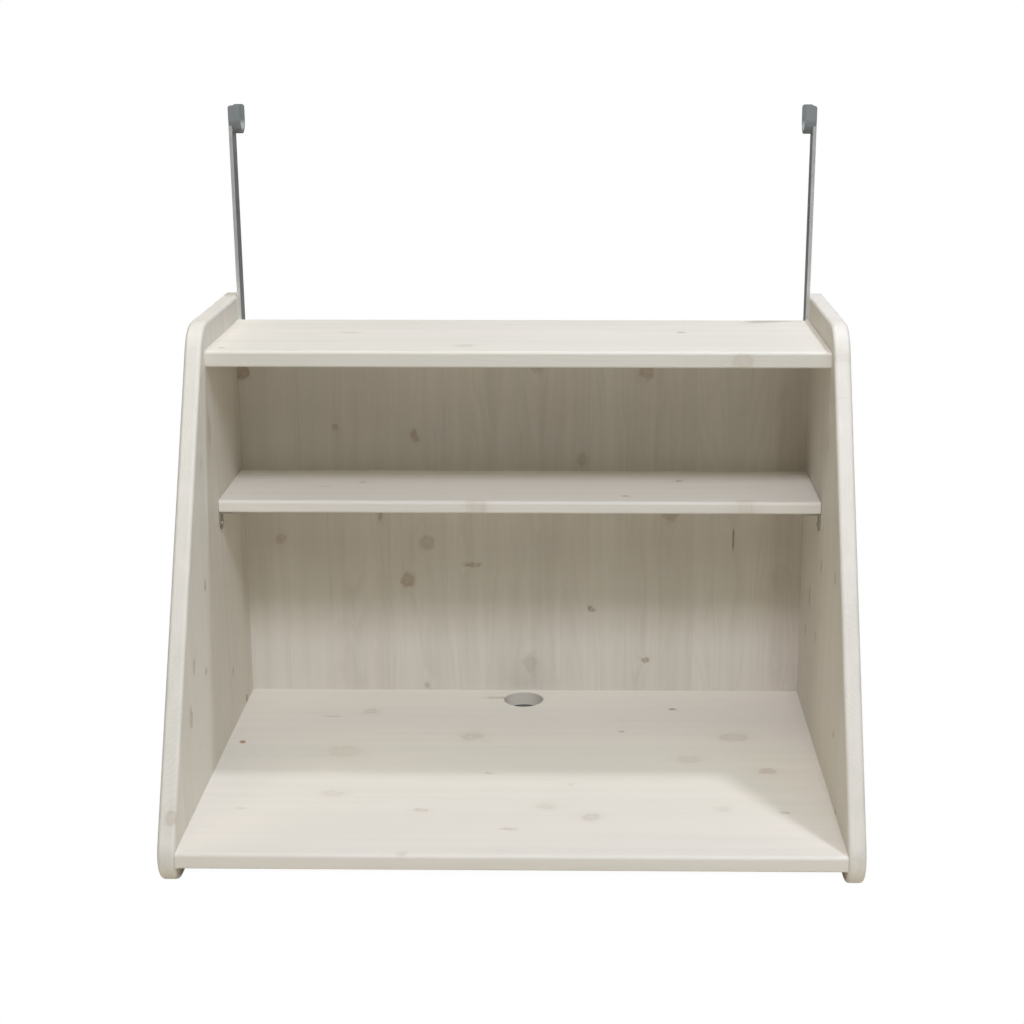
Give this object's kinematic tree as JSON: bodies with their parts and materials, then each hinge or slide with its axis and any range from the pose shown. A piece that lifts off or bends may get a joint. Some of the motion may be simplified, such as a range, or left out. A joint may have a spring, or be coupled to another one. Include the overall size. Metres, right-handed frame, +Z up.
{
  "type": "desk hutch",
  "caption": "Whitewashed pine hanging desk hutch: tapered sides, back panel, shelves and a deep desk board with a cable hole, hung by steel bars that end in U hooks.",
  "frame": {"origin": "centre of the whole part's box in X and Y, at the floor under the side panels' bottom edges", "axes": "+X to the right as seen from the front, +Y to the back (the front faces -Y), +Z up"},
  "size_m": [0.9, 0.6314, 0.945],
  "materials": {
    "left_side_panel_pine": "whitewashed, semi-matt lacquer",
    "right_side_panel_pine": "whitewashed, semi-matt lacquer",
    "top_shelf_pine": "whitewashed, semi-matt lacquer",
    "middle_shelf_pine": "whitewashed, semi-matt lacquer",
    "desk_board_pine": "whitewashed, semi-matt lacquer",
    "back_panel_pine": "whitewashed, semi-matt lacquer",
    "hanger_steel": "zinc-plated, satin",
    "bracket_steel": "zinc-plated, bright",
    "screw_steel": "zinc-plated, bright",
    "bolt_steel": "zinc-plated, bright",
    "dowel_beech": "raw fluted beech"
  },
  "bodies": {
    "root": {"left_side_panel": "left_side_panel_pine", "right_side_panel": "right_side_panel_pine", "top_shelf": "top_shelf_pine", "middle_shelf": "middle_shelf_pine", "desk_board": "desk_board_pine", "back_panel": "back_panel_pine", "left_hanger_bar": "hanger_steel", "right_hanger_bar": "hanger_steel", "left_hook": "hanger_steel", "right_hook": "hanger_steel", "bracket_left_front": "bracket_steel", "bracket_left_rear": "bracket_steel", "bracket_right_front": "bracket_steel", "bracket_right_rear": "bracket_steel", "bracket_side_screws": "screw_steel", "bracket_shelf_screws": "screw_steel", "hanger_screws": "screw_steel", "top_shelf_bolts": "bolt_steel", "desk_bolts": "bolt_steel", "back_panel_bolts": "bolt_steel", "top_shelf_nuts": "bolt_steel", "desk_nuts": "bolt_steel", "back_panel_nuts": "bolt_steel", "top_shelf_dowels": "dowel_beech", "desk_dowels": "dowel_beech", "back_panel_dowels": "dowel_beech", "back_panel_screws": "screw_steel"}
  },
  "joints": []
}
